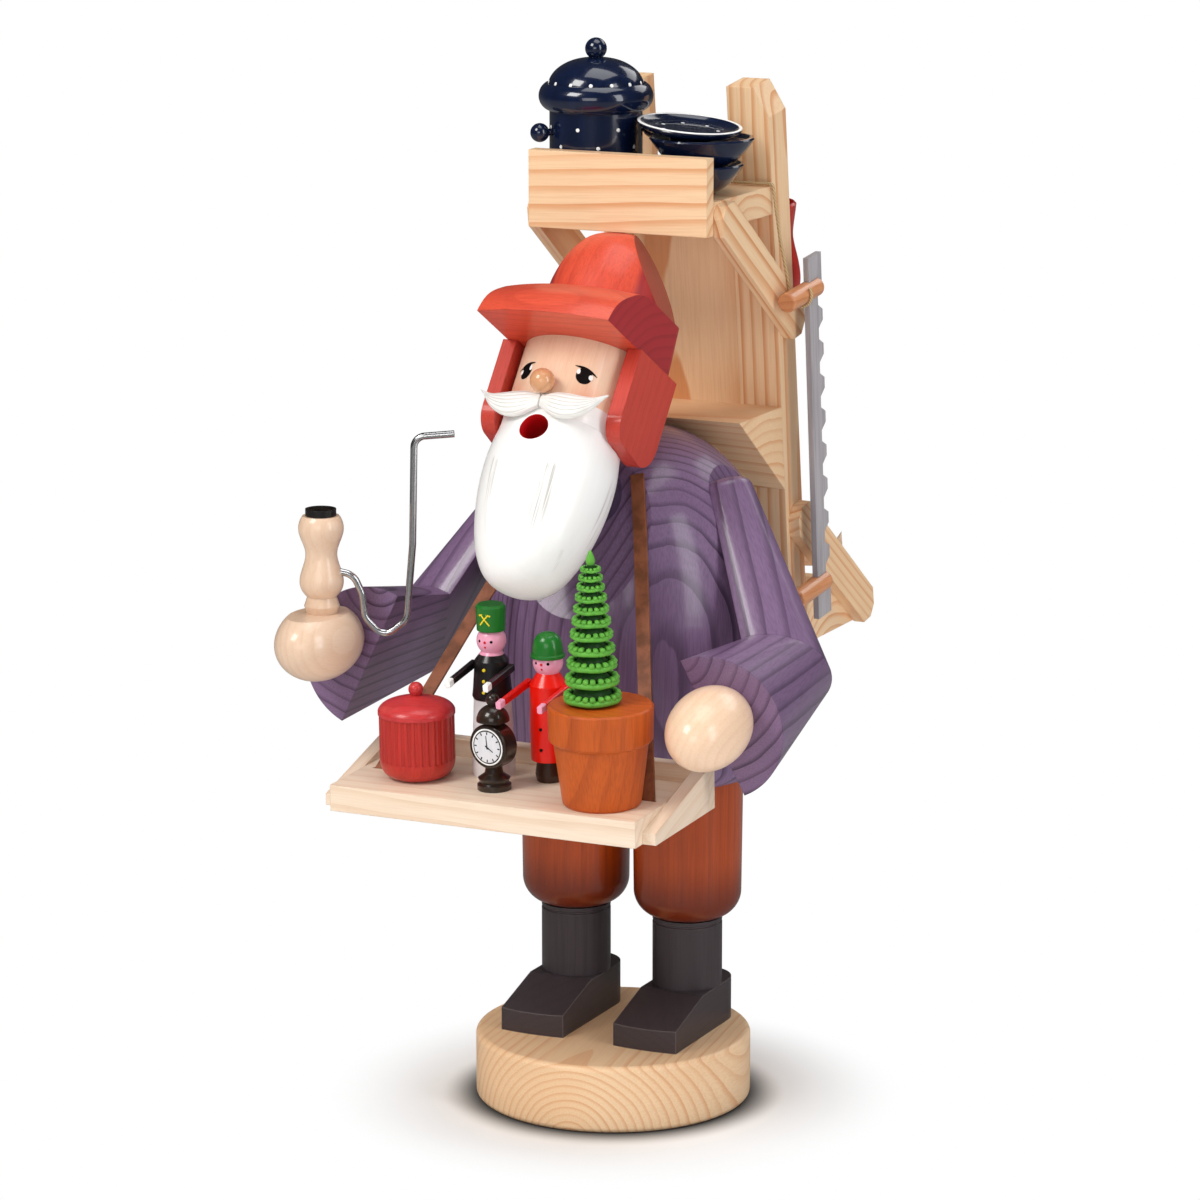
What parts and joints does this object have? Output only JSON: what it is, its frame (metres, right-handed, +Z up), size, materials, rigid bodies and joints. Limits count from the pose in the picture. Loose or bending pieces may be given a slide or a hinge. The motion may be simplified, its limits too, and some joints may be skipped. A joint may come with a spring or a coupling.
{
  "type": "incense smoker figure",
  "caption": "Turned wooden incense smoker: bearded toy pedlar with pipe, tray of wares and pack frame; the upper body lifts off its base over the incense dish.",
  "frame": {"origin": "centre of the base disc's underside", "axes": "+Z up; the figure faces -Y; its left hand is on +X"},
  "size_m": [0.2226, 0.319, 0.4651],
  "materials": {
    "pine": "clear satin lacquer on pine",
    "tray_pine": "clear satin lacquer on pale pine",
    "beech": "glossy clear lacquer on beech",
    "violet_stain": "violet-grey stain under gloss lacquer, dark growth rings",
    "red_stain": "red stain under gloss lacquer",
    "brown_stain": "red-brown stain under gloss lacquer",
    "boot_stain": "anthracite satin stain",
    "white_paint": "white satin paint with grey strokes",
    "navy_gloss": "navy gloss lacquer with white dots",
    "jar_red": "red stain, satin",
    "miner_paint": "black, white, pink and green paint",
    "toyman_paint": "red, pink, green and brown paint",
    "clock_brown": "dark brown gloss stain",
    "pot_orange": "terracotta-coloured satin stain",
    "tree_green": "green stain, matt",
    "saw_grey": "grey matt paint",
    "handle_wood": "reddish clear lacquer",
    "leather": "brown smooth leather",
    "twine": "raw twisted twine",
    "wire": "bright drawn wire",
    "dish_metal": "bright sheet metal",
    "nail_steel": "bright nail",
    "black_rim": "black paint"
  },
  "bodies": {
    "stand": {"base_disc": "pine", "shoes": "boot_stain", "boot_shafts": "boot_stain", "trouser_left": "brown_stain", "trouser_right": "brown_stain", "leg_dowels": "pine", "hip_block": "pine", "incense_dish": "dish_metal", "dish_nail": "nail_steel"},
    "figure": {"post_left": "pine", "post_right": "pine", "back_panel": "pine", "top_shelf": "pine", "shelf_front": "pine", "middle_shelf": "pine", "rear_shelf": "pine", "braces": "pine", "pack_dowels": "pine", "arm_dowels": "pine", "tray_dowels": "pine", "neck_block": "pine", "toy_cat": "pine", "tray_floor": "tray_pine", "tray_back": "tray_pine", "tray_sides": "tray_pine", "head": "beech", "nose": "beech", "hand_left": "beech", "hand_right": "beech", "pipe_bowl": "beech", "coat_body": "violet_stain", "upper_arm_left": "violet_stain", "upper_arm_right": "violet_stain", "forearm_left": "violet_stain", "forearm_right": "violet_stain", "hat_brim": "red_stain", "hat_crown": "red_stain", "ear_flaps": "red_stain", "beard": "white_paint", "moustache": "white_paint", "tureen_pot": "navy_gloss", "tureen_handles": "navy_gloss", "enamel_bowls": "navy_gloss", "jar_body": "jar_red", "red_jug": "jar_red", "toy_miner": "miner_paint", "toy_arms": "miner_paint", "toy_man": "toyman_paint", "toy_clock": "clock_brown", "flower_pot": "pot_orange", "ring_tree": "tree_green", "saw_blade": "saw_grey", "saw_handles": "handle_wood", "strap_left": "leather", "strap_right": "leather", "twine": "twine", "pipe_stem": "wire", "pipe_cap": "black_rim"},
    "jar_cover": {"jar_lid": "jar_red"},
    "tureen_cover": {"tureen_lid": "navy_gloss"}
  },
  "joints": [
    {"name": "figure_lift", "type": "slide", "parent": "stand", "child": "figure", "axis": [0, 0, 1], "range_m": [0, 0.08]},
    {"name": "jar_lid_lift", "type": "slide", "parent": "figure", "child": "jar_cover", "axis": [0, -0.0349, 0.9994], "range_m": [0, 0.03]},
    {"name": "tureen_lid_lift", "type": "slide", "parent": "figure", "child": "tureen_cover", "axis": [0, 0, 1], "range_m": [0, 0.03]}
  ]
}
